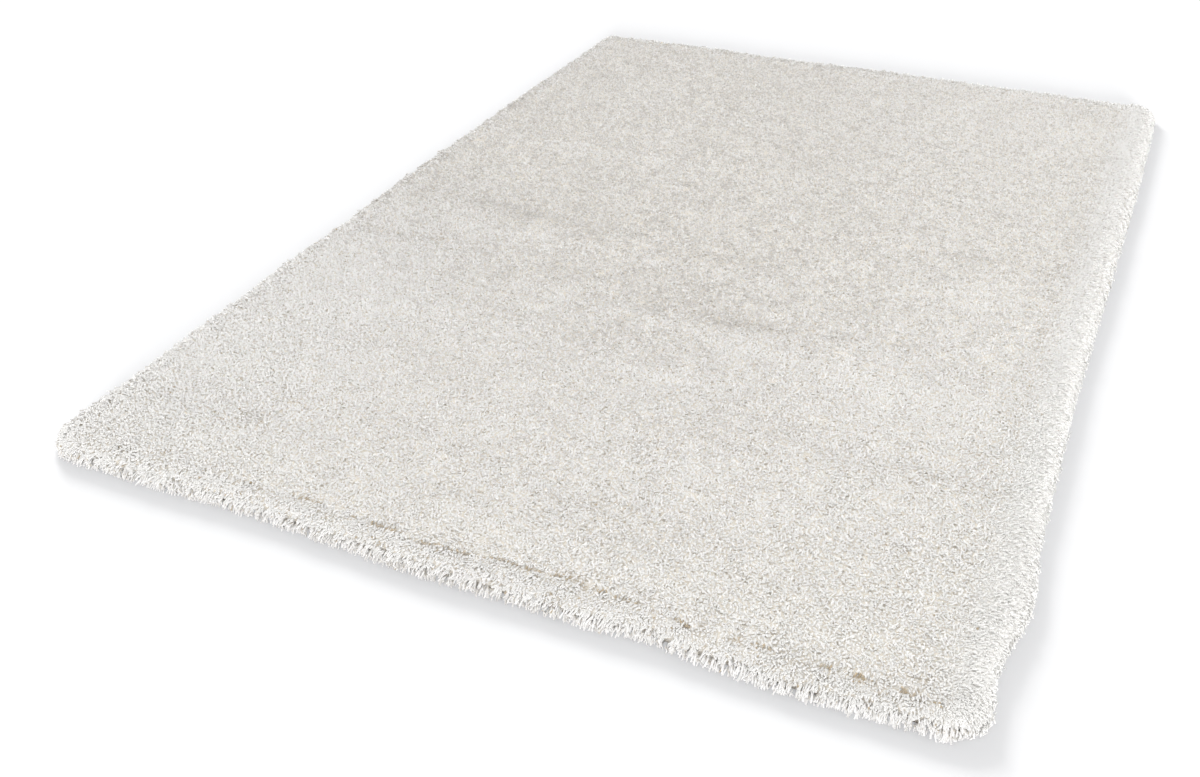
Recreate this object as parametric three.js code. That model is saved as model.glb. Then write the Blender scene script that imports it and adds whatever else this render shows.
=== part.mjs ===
// A deep-pile woven rug that lies flat on the floor, as one solid out to the tips of its pile.
// Millimetres, +Z up. The origin is on the floor under the middle of the rug.
// X runs across the rug and Y along it. The short side where the pile parts is at -Y.
import * as THREE from 'three';

// Sizes with the pile, before the swells along the edges.
const WIDTH = 1600;
const LENGTH = 2300;
const THICKNESS = 40;
const CORNER_RADIUS = 52;

// Corners further in are tighter, down to this radius.
const TIGHTEST_CORNER = 12;

// Steps round every ring of points, for each side and each corner.
const SHORT_SIDE_STEPS = 40;
const LONG_SIDE_STEPS = 56;
const CORNER_STEPS = 4;

// The edge from the floor up and over onto the top. The outer yarns lean out until their tips
// touch the floor, so the widest line is low. Inset is how far in from that line a point lies.
const EDGE_PROFILE = [
  { inset: 7, height: 0 },
  { inset: 1, height: 6 },
  { inset: 0, height: 13 },
  { inset: 4, height: 23 },
  { inset: 13, height: 32 },
  { inset: 26, height: 37 },
  { inset: 38, height: 38.5 },
  { inset: 48, height: 39 },
  { inset: 60, height: 39.5 },
  { inset: 110, height: 40 },
];

// Rings across the top, as shares of the way from the middle to the profile's last ring.
const TOP_RING_SHARES = [0.82, 0.6, 0.38, 0.18];

// The pile bulges and draws in along the edges. Each swell is on one side and centred at a place
// along it. It fades over its spread, and moves the outline out, or in where the number is
// below zero.
const EDGE_SWELLS = [
  { side: 'front', at: -370, spread: 130, out: -7 },
  { side: 'front', at: -30, spread: 90, out: 5 },
  { side: 'front', at: 325, spread: 50, out: -10 },
  { side: 'front', at: 540, spread: 50, out: 5 },
  { side: 'front', at: 740, spread: 60, out: -6 },
  { side: 'right', at: -1010, spread: 60, out: -9 },
  { side: 'right', at: -850, spread: 80, out: 13 },
  { side: 'right', at: -250, spread: 300, out: -6 },
  { side: 'right', at: 700, spread: 300, out: 4 },
  { side: 'back', at: 650, spread: 70, out: -6 },
  { side: 'back', at: 290, spread: 50, out: 8 },
  { side: 'back', at: 110, spread: 55, out: 9 },
  { side: 'back', at: -500, spread: 150, out: 7 },
  { side: 'left', at: 1000, spread: 300, out: -16 },
  { side: 'left', at: 100, spread: 220, out: 7 },
  { side: 'left', at: -450, spread: 70, out: 6 },
  { side: 'left', at: -900, spread: 90, out: -5 },
];

// The top is level to within a few millimetres. Each swell runs across the rug at its own slant
// and takes the top down by up to twice its swing.
const TOP_SWELLS = [
  { wavelength: 760, slant: 1.32, swing: 0.5, phase: 0.9 },
  { wavelength: 520, slant: 1.74, swing: 0.4, phase: 3.7 },
  { wavelength: 410, slant: 0.35, swing: 0.3, phase: 5.2 },
];

// Along the short side at -Y the pile parts: the yarns outside this line lean out over the edge
// and the rest lean in, which leaves a shallow wavering groove between them.
const PARTING = {
  inset: 47,
  depth: 6,
  halfWidth: 9,
  reach: 0.43 * WIDTH,
  fade: 90,
  waver: 8,
  waverLength: 480,
  waverStart: -430,
};

const TURN = 2 * Math.PI;
const SIDE_FACING = { front: -TURN / 4, right: 0, back: TURN / 4, left: TURN / 2 };

// How far the outline moves out at a place near the edge that faces a given way. Round a corner
// the swells of one side hand over to those of the next.
function swellOut(x, y, facing) {
  let moved = 0;
  for (const { side, at, spread, out } of EDGE_SWELLS) {
    const towards = Math.max(Math.cos(facing - SIDE_FACING[side]), 0);
    const alongSide = side === 'front' || side === 'back' ? x : y;
    const away = (alongSide - at) / spread;
    moved += out * towards * towards * Math.exp(-away * away);
  }
  return moved;
}

// How far the top lies below its highest level at a place on the rug.
function swellDip(x, y) {
  let dip = 0;
  for (const { wavelength, slant, swing, phase } of TOP_SWELLS) {
    const along = x * Math.cos(slant) + y * Math.sin(slant);
    dip += swing * (1 + Math.sin((TURN * along) / wavelength + phase));
  }
  return dip;
}

// How deep the parting is at a place on the rug.
function partingDip(x, y) {
  const turned = (TURN * (x - PARTING.waverStart)) / PARTING.waverLength;
  const wavered = PARTING.waver * Math.sin(turned);
  const away = (y + LENGTH / 2 - PARTING.inset - wavered) / PARTING.halfWidth;
  const ending = THREE.MathUtils.smoothstep(Math.abs(x), PARTING.reach - PARTING.fade, PARTING.reach);
  return PARTING.depth * (1 - ending) * Math.exp(-away * away);
}

// One side and the corner after it, in the order in which a ring runs, anticlockwise from above.
// The side runs from one corner's centre to the next, and the corner turns on from its heading.
const SIDES = [
  { from: [-1, -1], to: [1, -1], steps: SHORT_SIDE_STEPS, facing: -TURN / 4 },
  { from: [1, -1], to: [1, 1], steps: LONG_SIDE_STEPS, facing: 0 },
  { from: [1, 1], to: [-1, 1], steps: SHORT_SIDE_STEPS, facing: TURN / 4 },
  { from: [-1, 1], to: [-1, -1], steps: LONG_SIDE_STEPS, facing: TURN / 2 },
];

// The stations of a ring. Each is a place on the frame of corner centres, where those centres are
// at (1, 1), (-1, 1) and so on, and the direction in which the edge faces there.
function makeStations() {
  const stations = [];
  for (const { from, to, steps, facing } of SIDES) {
    for (let i = 0; i < steps; i++) {
      const share = i / steps;
      const across = THREE.MathUtils.lerp(from[0], to[0], share);
      const along = THREE.MathUtils.lerp(from[1], to[1], share);
      stations.push({ across, along, facing });
    }
    for (let i = 0; i < CORNER_STEPS; i++) {
      const turned = facing + ((TURN / 4) * i) / CORNER_STEPS;
      stations.push({ across: to[0], along: to[1], facing: turned });
    }
  }
  return stations;
}

const STATIONS = makeStations();

// A ring of points at an inset from the widest line, all at one height before the top's dips.
function edgeRing({ inset, height }) {
  const radius = Math.max(CORNER_RADIUS - inset, TIGHTEST_CORNER);
  return STATIONS.map(({ across, along, facing }) => {
    const centreX = across * (WIDTH / 2 - inset - radius);
    const centreY = along * (LENGTH / 2 - inset - radius);
    const reach = radius + swellOut(centreX, centreY, facing);
    const x = centreX + Math.cos(facing) * reach;
    const y = centreY + Math.sin(facing) * reach;
    const share = height / THICKNESS;
    const dip = share * share * (swellDip(x, y) + partingDip(x, y));
    return new THREE.Vector3(x, y, height - dip);
  });
}

// A ring across the top, at a share of the way from the middle to the outer ring given.
function topRing(outer, share) {
  return outer.map(({ x, y }) => {
    const place = new THREE.Vector3(x * share, y * share, THICKNESS);
    place.z -= swellDip(place.x, place.y);
    return place;
  });
}

// A closed skin through the rings, from the lowest up, with a flat floor under the first ring
// and a fan of triangles to the middle of the last.
function skinThrough(rings) {
  const perRing = STATIONS.length;
  const middle = new THREE.Vector3(0, 0, THICKNESS - swellDip(0, 0));
  const points = [...rings.flat(), middle];
  const middleIndex = points.length - 1;
  const lastRing = (rings.length - 1) * perRing;
  const triangles = [];

  for (let ring = 0; ring < rings.length - 1; ring++) {
    for (let i = 0; i < perRing; i++) {
      const low = ring * perRing + i;
      const lowNext = ring * perRing + ((i + 1) % perRing);
      triangles.push(low, lowNext, lowNext + perRing);
      triangles.push(low, lowNext + perRing, low + perRing);
    }
  }
  for (let i = 0; i < perRing; i++) {
    triangles.push(lastRing + i, lastRing + ((i + 1) % perRing), middleIndex);
  }

  const foot = rings[0].map(({ x, y }) => new THREE.Vector2(x, y));
  for (const [a, b, c] of THREE.ShapeUtils.triangulateShape(foot, [])) {
    triangles.push(c, b, a);
  }

  const geometry = new THREE.BufferGeometry().setFromPoints(points);
  geometry.setIndex(triangles);
  centreOverOrigin(geometry);
  geometry.computeVertexNormals();
  return geometry;
}

// The swells aren't the same on both sides, so the finished skin is set over the origin.
function centreOverOrigin(geometry) {
  geometry.computeBoundingBox();
  const middle = geometry.boundingBox.getCenter(new THREE.Vector3());
  geometry.translate(-middle.x, -middle.y, 0);
}

function makeRug() {
  const edge = EDGE_PROFILE.map(edgeRing);
  const top = TOP_RING_SHARES.map((share) => topRing(edge.at(-1), share));
  const yarn = new THREE.MeshStandardMaterial({ color: 0xe6e2da, roughness: 0.9, metalness: 0 });
  const rug = new THREE.Mesh(skinThrough([...edge, ...top]), yarn);
  rug.name = 'rug';
  return rug;
}

const part = new THREE.Group();
part.add(makeRug());

export default part;
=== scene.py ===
# %% [markdown]
# # A deep-pile woven rug
# This script dresses the plain solid of a rug with what makes it look like one: thousands of soft
# cut yarns standing on a woven ground. The solid comes from the frame and gives the rug's size and
# place. Everything is in metres, +Z up, with the origin on the floor under the middle of the rug.
# X runs across the rug and Y along it, and the short side where the pile parts is at -Y.

# %% Load the frame
import math
from collections import namedtuple

import bpy
import numpy as np
from mathutils import Matrix, Vector
from mathutils.bvhtree import BVHTree


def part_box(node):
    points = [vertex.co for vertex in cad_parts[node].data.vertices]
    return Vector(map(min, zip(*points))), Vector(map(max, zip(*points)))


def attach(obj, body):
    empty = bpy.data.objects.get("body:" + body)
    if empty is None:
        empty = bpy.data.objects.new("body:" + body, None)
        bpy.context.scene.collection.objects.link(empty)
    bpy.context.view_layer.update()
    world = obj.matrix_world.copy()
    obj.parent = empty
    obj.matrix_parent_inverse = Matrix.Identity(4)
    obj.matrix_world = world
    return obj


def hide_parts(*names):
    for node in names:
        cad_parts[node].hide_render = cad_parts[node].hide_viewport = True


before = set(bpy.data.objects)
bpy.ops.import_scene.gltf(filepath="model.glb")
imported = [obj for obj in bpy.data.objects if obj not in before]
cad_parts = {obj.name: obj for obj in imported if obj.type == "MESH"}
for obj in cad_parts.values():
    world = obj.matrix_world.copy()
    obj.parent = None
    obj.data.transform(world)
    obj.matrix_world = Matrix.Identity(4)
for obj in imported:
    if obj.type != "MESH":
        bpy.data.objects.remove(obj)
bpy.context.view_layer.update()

low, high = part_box("rug")
HALF_WIDTH = (high.x - low.x) / 2
HALF_LENGTH = (high.y - low.y) / 2
TIP_LEVEL = high.z
print(f"rug {2 * HALF_WIDTH:.3f} x {2 * HALF_LENGTH:.3f} m, pile tips {TIP_LEVEL * 1000:.0f} mm up")

# %% [markdown]
# ## The camera
# A camera on a stand in front of a short side, turned a little across the rug and slightly
# tilted. Its place is given in rug widths and lengths, so the view keeps its shape if the rug's
# size changes.

# %% Place the camera
CAMERA_RIGHT = 0.5131 * 2 * HALF_WIDTH
CAMERA_FRONT = -0.9956 * 2 * HALF_LENGTH
CAMERA_HEIGHT = 0.7975 * 2 * HALF_WIDTH
CAMERA_TURN = math.radians(25.87)
CAMERA_DOWN = math.radians(34.03)
CAMERA_ROLL = math.radians(-1.35)
LENS_MM = 37.7

camera_data = bpy.data.cameras.new("camera")
camera_data.lens = LENS_MM
camera_data.sensor_width = 36
camera = bpy.data.objects.new("camera", camera_data)
camera.matrix_world = (
    Matrix.Translation((CAMERA_RIGHT, CAMERA_FRONT, CAMERA_HEIGHT))
    @ Matrix.Rotation(CAMERA_TURN, 4, "Z")
    @ Matrix.Rotation(math.pi / 2 - CAMERA_DOWN, 4, "X")
    @ Matrix.Rotation(CAMERA_ROLL, 4, "Z")
)
scene = bpy.context.scene
scene.collection.objects.link(camera)
scene.camera = camera
scene.view_settings.view_transform = "Standard"
print(f"camera {CAMERA_HEIGHT:.2f} m up, {-CAMERA_FRONT:.2f} m in front of the rug's middle")

# %% [markdown]
# ## Helpers for meshes and smooth random fields
# The pile is planned with arrays, because a rule such as "lean out near the edge" is one line for
# all the yarns at once. A soft random field is a coarse grid of random numbers, read with smooth
# steps between its points. Every field has its own seed, so each run gives the same rug.

# %% Mesh and noise helpers
NOISE_CELLS = 97
NOISE_SHIFT = (31.7, 31.3)


def add_object(name, mesh):
    """Links a mesh as an object at the origin."""
    made = bpy.data.objects.new(name, mesh)
    scene.collection.objects.link(made)
    return made


def between(grid, u, v, smooth=False):
    """Reads a grid at places between its points. It repeats past its ends."""
    i, j = np.floor(u).astype(int), np.floor(v).astype(int)
    s, t = u - i, v - j
    if smooth:
        s, t = s * s * (3 - 2 * s), t * t * (3 - 2 * t)
    rows, columns = grid.shape
    i, j = i % columns, j % rows
    i_next, j_next = (i + 1) % columns, (j + 1) % rows
    near_row = grid[j, i] * (1 - s) + grid[j, i_next] * s
    far_row = grid[j_next, i] * (1 - s) + grid[j_next, i_next] * s
    return near_row * (1 - t) + far_row * t


def soft_noise(x, y, size_x, size_y, seed):
    """A smooth random field from -1 to 1, with features about size_x by size_y."""
    grid = np.random.default_rng(seed).uniform(-1, 1, (NOISE_CELLS, NOISE_CELLS))
    return between(grid, x / size_x + NOISE_SHIFT[0], y / size_y + NOISE_SHIFT[1], smooth=True)


def smooth_step(low_end, high_end, value):
    """0 at low_end, 1 at high_end and a smooth climb between."""
    share = np.clip((value - low_end) / (high_end - low_end), 0, 1)
    return share * share * (3 - 2 * share)


def near_edge(half, margin, full, place):
    """0 further in from an edge than margin, and 1 nearer to it than full."""
    return smooth_step(half - margin, half - full, place)


# %% [markdown]
# ## The skin of the pile
# Together the tips of the yarns make a skin, level on top and rolled over at the sides. Think of a
# flat sheet laid over the rug: its middle lies on top, and what hangs over rolls down to the
# floor. `wrap` says where each point of that sheet comes to lie. The yarns' tips and the inner
# depth of the pile are both planned on the flat sheet, and so fit each other all round. Yarns
# could be scattered on the solid's own faces instead, but then no row or lie would run on evenly
# from the top to the sides.

# %% Read the plain solid
LEVEL_ROWS, LEVEL_COLUMNS = 21, 15
LEVEL_MARGIN = 0.09
WIDEST_HEIGHT = 0.013

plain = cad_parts["rug"].data
PLAIN_TREE = BVHTree.FromPolygons(
    [v.co for v in plain.vertices], [tuple(p.vertices) for p in plain.polygons]
)


def read_levels():
    """The height of the solid's top on a coarse grid, found by rays from above."""
    xs = np.linspace(-1, 1, LEVEL_COLUMNS) * (HALF_WIDTH - LEVEL_MARGIN)
    ys = np.linspace(-1, 1, LEVEL_ROWS) * (HALF_LENGTH - LEVEL_MARGIN)
    down = Vector((0, 0, -1))
    return np.array([[PLAIN_TREE.ray_cast(Vector((x, y, 1)), down)[0].z for x in xs] for y in ys])


LEVELS = read_levels()


def top_level(x, y):
    """The level of the pile's tips at each place."""
    last_u, last_v = LEVEL_COLUMNS - 1, LEVEL_ROWS - 1
    u = (x / (HALF_WIDTH - LEVEL_MARGIN) + 1) / 2 * last_u
    v = (y / (HALF_LENGTH - LEVEL_MARGIN) + 1) / 2 * last_v
    return between(LEVELS, np.clip(u, 0, last_u - 0.001), np.clip(v, 0, last_v - 0.001))


def reach_to_outline(hub_x, hub_y, out_x, out_y):
    """How far the solid's widest line is from a place inside it, found by a ray from outside."""
    out = Vector((out_x, out_y, 0))
    start = Vector((hub_x, hub_y, WIDEST_HEIGHT)) + out
    return 1 - PLAIN_TREE.ray_cast(start, -out)[3]


print(f"top between {LEVELS.min() * 1000:.1f} and {LEVELS.max() * 1000:.1f} mm")

# %% The rolled edge
# From the top to the floor: how far in from the outline the skin lies, and how high it is where the
# top is 40 mm up. The roll is scaled to the top's own level, and stretched out to the outline.
ROLL_INSETS = np.array([0.065, 0.050, 0.038, 0.026, 0.013, 0.004, 0.000, 0.001, 0.007])
ROLL_HEIGHTS = np.array([0.0400, 0.0397, 0.0388, 0.0370, 0.0320, 0.0230, 0.0130, 0.0060, 0.0000])
ROLL_START = ROLL_INSETS[0]
ROLL_STEPS = np.hypot(np.diff(ROLL_INSETS), np.diff(ROLL_HEIGHTS))
ROLL_LENGTHS = np.concatenate([[0], np.cumsum(ROLL_STEPS)])
ROLL_END = ROLL_LENGTHS[-1]
SLOPE_STEP = 0.004

# At the two corners in front the tips draw in more than the solid does, by a share of the roll.
CORNER_DRAWN_IN = 0.12

Skin = namedtuple("Skin", "place normal down out rolled stretch")


def roll_down(rolled):
    """How far out and how high the skin is, at a distance along the roll."""
    outward = ROLL_START - np.interp(rolled, ROLL_LENGTHS, ROLL_INSETS)
    return outward, np.interp(rolled, ROLL_LENGTHS, ROLL_HEIGHTS)


def wrap(u, v):
    """Lays points of the flat sheet on the skin of the pile."""
    hub_x = np.clip(u, ROLL_START - HALF_WIDTH, HALF_WIDTH - ROLL_START)
    hub_y = np.clip(v, ROLL_START - HALF_LENGTH, HALF_LENGTH - ROLL_START)
    over_x, over_y = np.abs(u - hub_x), np.abs(v - hub_y)
    rolled = np.maximum(over_x, over_y)

    # Round a corner the sheet fans out: the turn is the share of the way round it.
    full = np.maximum(rolled, 1e-9)
    turn = np.where(over_x >= over_y, over_y / full, 2 - over_x / full) * math.pi / 4
    hangs = rolled > 0
    out_x = np.where(hangs, np.sign(u) * np.cos(turn), 0)
    out_y = np.where(hangs, np.sign(v) * np.sin(turn), 0)
    stretch = np.ones(len(u))
    hanging = (column[hangs].tolist() for column in (hub_x, hub_y, out_x, out_y))
    stretch[hangs] = [reach_to_outline(*spot) / ROLL_START for spot in zip(*hanging)]
    stretch -= np.where(v < 0, CORNER_DRAWN_IN, 0) * np.sin(2 * turn) ** 2
    outward, height = roll_down(rolled)
    outward = outward * stretch
    height = height * top_level(hub_x, hub_y) / ROLL_HEIGHTS[0]
    place = np.stack([hub_x + out_x * outward, hub_y + out_y * outward, height], 1)

    # The slope of the roll gives the way down it, and the way straight out of it.
    outward_after, height_after = roll_down(rolled + SLOPE_STEP)
    outward_before, height_before = roll_down(np.maximum(rolled - SLOPE_STEP, 0))
    run, fall = outward_after - outward_before, height_after - height_before
    size = np.hypot(run, fall)
    run, fall = np.where(hangs, run / size, 1), np.where(hangs, fall / size, 0)
    down = np.stack([out_x * run, out_y * run, fall], 1)
    normal = np.stack([-out_x * fall, -out_y * fall, run], 1)
    return Skin(place, normal, down, np.stack([out_x, out_y], 1), rolled, stretch)


def front_share(skin):
    """How far each place faces straight out in front, from 0 to 1."""
    return smooth_step(0.6, 0.95, -skin.out[:, 1])


print(f"from the top over the edge to the floor the skin is {ROLL_END * 1000:.0f} mm long")


# %% [markdown]
# ## Where the pile closes and where it opens
# Rolling, walking and sweeping leave long soft streaks across a deep pile. Where tips lie together
# they close up and look brighter. Where they lie apart, the lower yarn shows between them, warmer
# and darker. The tones of their yarns are also painted paler where the pile closes and darker where
# it opens, as painted light and shade for how light falls on pile that lies one way or the other.
# Each row of the table is one streak: its middle, half its length, half its breadth, its slant, and
# how strongly it closes the pile, or opens it where the number is below zero. A random field could
# place them too, but a rug's streaks are few and each has its own shape.

# %% Streaks
Streak = namedtuple("Streak", "x y length breadth slant closes")
STREAK_ROWS = [
    (-0.47, 0.69, 0.07, 0.080, 0.00, 0.5),
    (-0.15, 0.63, 0.16, 0.025, 0.02, 0.4),
    (-0.42, 0.32, 0.36, 0.032, 0.00, 0.9),
    (0.08, 0.36, 0.14, 0.030, 0.10, 0.7),
    (0.56, 0.12, 0.12, 0.018, 0.00, -0.6),
    (-0.45, -0.04, 0.36, 0.028, -0.02, -0.7),
    (0.00, -0.09, 0.12, 0.020, -0.05, -0.4),
    (0.60, -0.06, 0.22, 0.070, 0.05, 0.6),
    (-0.38, -0.16, 0.40, 0.030, 0.01, 0.7),
    (0.22, -0.13, 0.16, 0.030, 0.05, 0.5),
    (-0.66, -0.26, 0.14, 0.018, 0.02, -0.8),
    (-0.30, -0.25, 0.16, 0.018, 0.00, -0.6),
    (0.14, -0.31, 0.15, 0.024, 0.08, -0.9),
    (0.46, -0.27, 0.14, 0.030, 0.00, -0.6),
    (0.63, -0.33, 0.05, 0.022, 0.00, -0.8),
    (-0.12, -0.365, 0.16, 0.014, 0.02, 0.6),
    (0.20, -0.39, 0.13, 0.032, 0.00, 0.8),
    (0.50, -0.44, 0.16, 0.045, -0.05, 0.9),
    (-0.50, -0.55, 0.26, 0.030, 0.02, 0.4),
    (0.14, -0.55, 0.13, 0.024, 0.00, 0.9),
    (0.68, -0.54, 0.05, 0.022, 0.00, -0.7),
    (0.26, -0.62, 0.12, 0.022, 0.00, -0.4),
    (0.56, -0.63, 0.19, 0.028, 0.02, -0.9),
    (-0.60, -0.81, 0.18, 0.050, 0.03, 0.9),
    (0.22, -0.80, 0.12, 0.040, -0.10, 0.4),
    (-0.25, -0.81, 0.04, 0.018, 0.00, -0.5),
    (0.62, -0.83, 0.06, 0.020, 0.00, -0.6),
    (0.17, -0.92, 0.16, 0.028, 0.02, -0.7),
    (-0.60, -0.95, 0.17, 0.032, 0.03, -0.8),
    (0.15, -1.05, 0.70, 0.022, 0.00, 0.8),
]
STREAKS = [Streak(*row) for row in STREAK_ROWS]
STREAK_WANDER = 0.010


def read_streaks(x, y):
    """How closed the pile is, how open it is, and which way along the rug it lies apart."""
    closed, opened, apart = np.zeros_like(x), np.zeros_like(x), np.zeros_like(x)
    wander = STREAK_WANDER * soft_noise(x, y, 0.11, 0.5, 13)
    for streak in STREAKS:
        along = (x - streak.x) * math.cos(streak.slant) + (y - streak.y) * math.sin(streak.slant)
        across = (y - streak.y) * math.cos(streak.slant) - (x - streak.x) * math.sin(streak.slant)
        across = (across + wander) / streak.breadth
        strength = abs(streak.closes) * np.exp(-((along / streak.length) ** 2) - across**2)
        if streak.closes > 0:
            closed += strength
        else:
            opened += strength
            apart += strength * np.tanh(2 * across)
    return closed, opened, apart


print(f"{len(STREAKS)} streaks")

# %% [markdown]
# ## The parting
# Along the short side at -Y the outer yarns lean out over the edge and the rest lean in. Between
# them runs a thin wavering line in which the tan lower yarn shows. To the right it breaks up into
# dots. It is a rule of the place, so that the lie, the tone and the body below can all follow it.

# %% The parting along the short side at -Y
PARTING_INSET = 0.051
PARTING_WAVER = 0.008
PARTING_WAVELENGTH = 0.48
PARTING_WAVER_START = -0.433
PARTING_FROM, PARTING_TO = -0.60, 0.77
PARTING_GAP = 0.0018
GROOVE_HALF_WIDTH = 0.007

# Near the right corner the line runs this much closer to the edge.
PARTING_CLOSER = 0.012


def parting_inset(x):
    """How far in from the edge the parting runs."""
    turned = 2 * math.pi * (x - PARTING_WAVER_START) / PARTING_WAVELENGTH
    line = PARTING_INSET + PARTING_WAVER * np.sin(turned)
    line -= PARTING_CLOSER * smooth_step(0.40, 0.75, x)
    line += 0.004 * soft_noise(x, 0 * x, 0.035, 1, 21)
    return line + 0.002 * soft_noise(x, 0 * x, 0.013, 1, 23)


def read_parting(x, y):
    """How far inside the parting each place is, and how strongly the pile parts there."""
    inside = y + HALF_LENGTH - parting_inset(x)
    strength = smooth_step(PARTING_FROM, PARTING_FROM + 0.3, x)
    strength *= smooth_step(PARTING_TO, PARTING_TO - 0.05, x)
    clear = smooth_step(-0.25, -0.05, x) * smooth_step(0.45, 0.30, x)
    dotted = smooth_step(0.15, 0.40, x)
    broken = 0.8 * (1 - 0.5 * clear) * (1 - dotted) * soft_noise(x, 0 * x, 0.03, 1, 22)
    broken += 1.5 * dotted * soft_noise(x, 0 * x, 0.014, 1, 226)
    return inside, strength * np.clip(0.5 + 0.2 * clear + broken, 0, 1)


def groove(inside, strength):
    """How deep the groove at the parting is, from 0 to 1."""
    return strength * np.exp(-((inside / GROOVE_HALF_WIDTH) ** 2))


print(f"the pile parts {PARTING_INSET * 1000:.0f} mm in from the edge")

# %% [markdown]
# ## Specks
# In small spots a few yarns stand apart, and the tan yarn under them shows. Some spots are
# scattered over the half in front, where the pile was walked on, and more are along the parting.

# %% Specks
SPECK_COUNT = 50
PARTING_SPECK_COUNT = 40
speck_rng = np.random.default_rng(19)


def place_specks():
    """The middle and size of each speck."""
    low, high = (-0.76, -1.10, 0.0045), (0.70, 0.30, 0.0085)
    scattered = speck_rng.uniform(low, high, (SPECK_COUNT, 3))
    across = speck_rng.uniform(-0.62, 0.74, PARTING_SPECK_COUNT)
    inside = speck_rng.normal(0.002, 0.006, PARTING_SPECK_COUNT)
    along = parting_inset(across) - HALF_LENGTH + inside
    size = speck_rng.uniform(0.003, 0.006, PARTING_SPECK_COUNT)
    return np.concatenate([scattered, np.stack([across, along, size], 1)])


SPECKS = place_specks()


def read_specks(x, y):
    """How strongly the pile opens at each place because of a speck."""
    strength = np.zeros_like(x)
    for speck_x, speck_y, size in SPECKS:
        away = ((x - speck_x) / (1.3 * size)) ** 2 + ((y - speck_y) / size) ** 2
        strength += np.exp(-away)
    return np.minimum(strength, 1)


print(f"{len(SPECKS)} specks, {PARTING_SPECK_COUNT} of them along the parting")

# %% [markdown]
# ## The plan of the yarns
# A planned yarn is a curve: it leaves its root in the direction "rise" and ends at "tip", both
# counted from the root. It also has a thickness, and a tone from the palest white at 0, partly
# painted light, over cool and warm white to tan. The tips stand on a jittered grid of the flat
# sheet, as the rows of a weave would set them. Near neighbours lie over together, because several
# cut yarns come from one knot. Only the end of a yarn shows, so the rest of it is left out, apart
# from the whole yarns in front.

# %% How yarns stand and lie
CLUMP_SIZE = 0.010
LEAN_SPREAD = 11
LOWEST_TIPS = (0.0018, 0.004)

YarnPlan = namedtuple("YarnPlan", "root rise tip side width tone")


def choose(plan, keep):
    """The part of a plan for which keep is true."""
    return YarnPlan(*(column[keep] for column in plan))


def sheet_grid(pitch, rng):
    """Jittered places all over the flat sheet, out to the floor."""
    half_x = HALF_WIDTH - ROLL_START + ROLL_END
    half_y = HALF_LENGTH - ROLL_START + ROLL_END
    columns, rows = int(2 * half_x / pitch), int(2 * half_y / pitch)
    column, row = np.meshgrid(np.arange(columns), np.arange(rows))
    jitter = rng.uniform(-0.48, 0.48, (2, rows, columns))
    u = ((column + 0.5 + jitter[0]) / columns - 0.5) * 2 * half_x
    v = ((row + 0.5 + jitter[1]) / rows - 0.5) * 2 * half_y
    return u.ravel(), v.ravel()


def outward_pull(x, y, margin):
    """Which way the nearest edge is, from 0 far inside to 1 at the edge."""
    across = np.sign(x) * near_edge(HALF_WIDTH, margin, 0.4 * margin, np.abs(x))
    along = np.sign(y) * near_edge(HALF_LENGTH, margin, 0.4 * margin, np.abs(y))
    return np.stack([across, along], 1)


def random_lie(u, v, rng, together, alone):
    """A lie for each yarn, as x and y parts: its clump's and a share of its own."""
    own = rng.uniform(0, 2 * math.pi, len(u))
    clump = np.stack([soft_noise(u, v, CLUMP_SIZE, CLUMP_SIZE, seed) for seed in (15, 16)], 1)
    return together * clump + alone * np.stack([np.cos(own), np.sin(own)], 1)


def lay_on_skin(lie, skin):
    """Turns lies that are planned on the flat sheet into directions along the skin."""
    lie = lie / np.linalg.norm(lie, axis=1, keepdims=True)
    flat = np.pad(lie, ((0, 0), (0, 1)))
    outward = np.pad(skin.out, ((0, 0), (0, 1)))
    towards = np.sum(flat * outward, axis=1, keepdims=True)
    return flat + towards * (skin.down - outward)


def lean_over(skin, lie, lean):
    """The way each yarn's end points when it leans so many degrees, and the way square to it."""
    lean = np.radians(lean)
    end = skin.normal * np.cos(lean)[:, None] + lay_on_skin(lie, skin) * np.sin(lean)[:, None]
    side = np.cross(end, skin.normal)
    return end, side / np.linalg.norm(side, axis=1, keepdims=True)


def sink_tips(place, skin, dip, rng):
    """The tips, each sunk below its place on the skin but kept off the floor."""
    tips = place - skin.normal * dip[:, None]
    tips[:, 2] = np.maximum(tips[:, 2], rng.uniform(*LOWEST_TIPS, len(tips)))
    return tips


# %% [markdown]
# ## The tone of each yarn
# Yarn is never quite even, and light and feet change it later on. One random tone for each yarn
# would do from far away. Here it is a sum, which also holds up close: a base, unevenness from a
# hand's breadth down to a single yarn, and slow changes across the rug.

# %% Tones
# Below the cool tone a yarn is at its palest, partly its own colour and partly painted light, and
# above the warm one it turns tan.
BASE_TONE = 0.24
LEAST_TONE = 0.02
COOL_TONE = 0.15
WARM_TONE = 0.72
TAN_STARTS = 0.74
TAN_TONE = 0.98
# How much darker the white yarns near the floor in front are painted: painted shade at the foot.
FOOT_SHADE = 0.30

# Along the right edge the pile is painted paler, as painted light from the right. This is where that
# starts and where it is full.
RIGHT_LIGHT_MARGINS = (0.11, 0.03)


def calm_share(x, y):
    """How calm the pile lies at a place, from 0 to 1. It is calmest to the left in front."""
    return smooth_step(-0.25, -0.60, x) * smooth_step(0.3, -0.3, y)


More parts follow.
